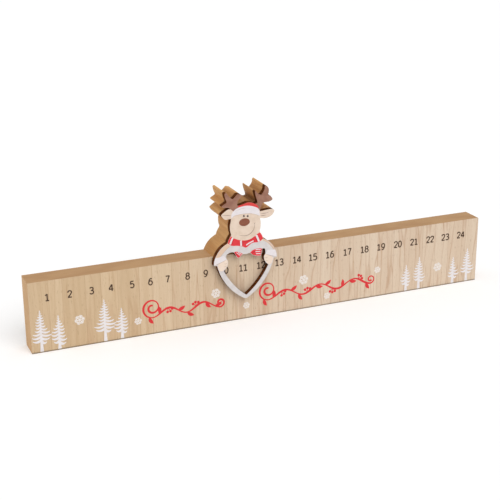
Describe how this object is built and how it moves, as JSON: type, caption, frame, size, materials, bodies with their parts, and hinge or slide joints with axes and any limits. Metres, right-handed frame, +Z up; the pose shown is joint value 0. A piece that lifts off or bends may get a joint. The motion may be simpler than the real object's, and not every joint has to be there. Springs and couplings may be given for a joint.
{
  "type": "advent calendar",
  "caption": "Upright wooden advent calendar bar with the days printed along its face and a reindeer slider that rides on its top edge and frames one day in a heart-shaped window.",
  "frame": {"origin": "middle of the bar's underside, in the bar's length and thickness", "axes": "+X along the bar from the first day to the last, -Y out of the printed face, +Z up"},
  "size_m": [0.4, 0.0304, 0.1133],
  "materials": {
    "bar_board": "bare sawn fibreboard, matt",
    "veneer": "pale veneer with upright grain, matt",
    "slider_board": "bare sawn fibreboard with scorched edges, matt",
    "slider_sheet": "thin sheet, printed in front, scorched at the cut edges",
    "print_dark": "dark brown ink on wood",
    "print_white": "white ink on wood",
    "print_red": "red ink on wood",
    "print_skin": "beige ink on wood"
  },
  "bodies": {
    "bar": {"bar_core": "bar_board", "veneer_leaf_01": "veneer", "veneer_leaf_02": "veneer", "veneer_leaf_03": "veneer", "veneer_leaf_04": "veneer", "veneer_leaf_05": "veneer", "veneer_leaf_06": "veneer", "veneer_leaf_07": "veneer", "veneer_leaf_08": "veneer", "veneer_leaf_09": "veneer", "veneer_leaf_10": "veneer", "veneer_leaf_11": "veneer", "veneer_leaf_12": "veneer", "veneer_leaf_13": "veneer", "veneer_leaf_14": "veneer", "veneer_leaf_15": "veneer", "veneer_leaf_16": "veneer", "veneer_leaf_17": "veneer", "veneer_leaf_18": "veneer", "veneer_leaf_19": "veneer", "veneer_leaf_20": "veneer", "veneer_leaf_21": "veneer", "veneer_leaf_22": "veneer", "veneer_leaf_23": "veneer", "veneer_leaf_24": "veneer", "veneer_leaf_25": "veneer", "veneer_leaf_26": "veneer", "veneer_leaf_27": "veneer", "veneer_leaf_28": "veneer"},
    "slider": {"slider_block": "slider_board", "slider_front_plate": "slider_sheet", "slider_rear_keeper": "slider_sheet"}
  },
  "joints": [
    {"name": "day_slide", "type": "slide", "parent": "bar", "child": "slider", "axis": [1, 0, 0], "range_m": [-0.16, 0.208]}
  ]
}
